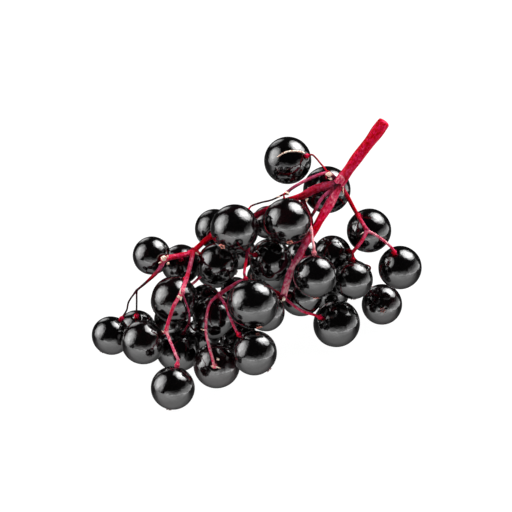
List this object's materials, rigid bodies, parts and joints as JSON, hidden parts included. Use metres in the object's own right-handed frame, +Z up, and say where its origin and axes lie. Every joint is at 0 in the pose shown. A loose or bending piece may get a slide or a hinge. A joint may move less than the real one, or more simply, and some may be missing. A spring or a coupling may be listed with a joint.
{
  "type": "elderberry cluster",
  "caption": "Picked cluster of glossy black elderberries on a branching crimson stalk, lying berries down with its cut stem pointing up and to the right.",
  "frame": {"origin": "middle of the cluster's footprint, on the surface that it lies on", "axes": "+Z up, +X to the right along the cluster's longest side, +Y away from the side that shows best"},
  "size_m": [0.0502, 0.0422, 0.0339],
  "materials": {
    "berry_skin": "smooth glossy fruit skin",
    "stalk": "satin green wood, crimson"
  },
  "bodies": {
    "root": {"main_stem": "stalk", "front_ray": "stalk", "front_berry_1": "berry_skin", "front_berry_2": "berry_skin", "front_berry_3": "berry_skin", "front_berry_4": "berry_skin", "middle_ray": "stalk", "middle_berry_1": "berry_skin", "middle_berry_2": "berry_skin", "middle_berry_3": "berry_skin", "middle_berry_4": "berry_skin", "middle_berry_5": "berry_skin", "middle_berry_6": "berry_skin", "left_ray": "stalk", "left_berry_1": "berry_skin", "left_berry_2": "berry_skin", "left_berry_3": "berry_skin", "left_berry_4": "berry_skin", "left_berry_5": "berry_skin", "left_berry_6": "berry_skin", "left_berry_7": "berry_skin", "left_berry_8": "berry_skin", "left_berry_9": "berry_skin", "left_berry_10": "berry_skin", "left_berry_11": "berry_skin", "left_berry_12": "berry_skin", "left_berry_13": "berry_skin", "left_berry_14": "berry_skin", "upper_ray": "stalk", "upper_berry_1": "berry_skin", "upper_berry_2": "berry_skin", "upper_berry_3": "berry_skin", "upper_berry_4": "berry_skin", "right_ray": "stalk", "right_berry_1": "berry_skin", "right_berry_2": "berry_skin", "right_berry_3": "berry_skin", "right_berry_4": "berry_skin", "right_berry_5": "berry_skin", "right_berry_6": "berry_skin", "back_ray": "stalk", "back_berry_1": "berry_skin", "back_berry_2": "berry_skin", "back_berry_3": "berry_skin", "back_berry_4": "berry_skin", "back_berry_5": "berry_skin", "back_berry_6": "berry_skin", "back_berry_7": "berry_skin", "back_berry_8": "berry_skin", "back_berry_9": "berry_skin", "hind_ray": "stalk", "hind_berry_1": "berry_skin", "hind_berry_2": "berry_skin", "hind_berry_3": "berry_skin", "hind_berry_4": "berry_skin", "hind_berry_5": "berry_skin"}
  },
  "joints": []
}
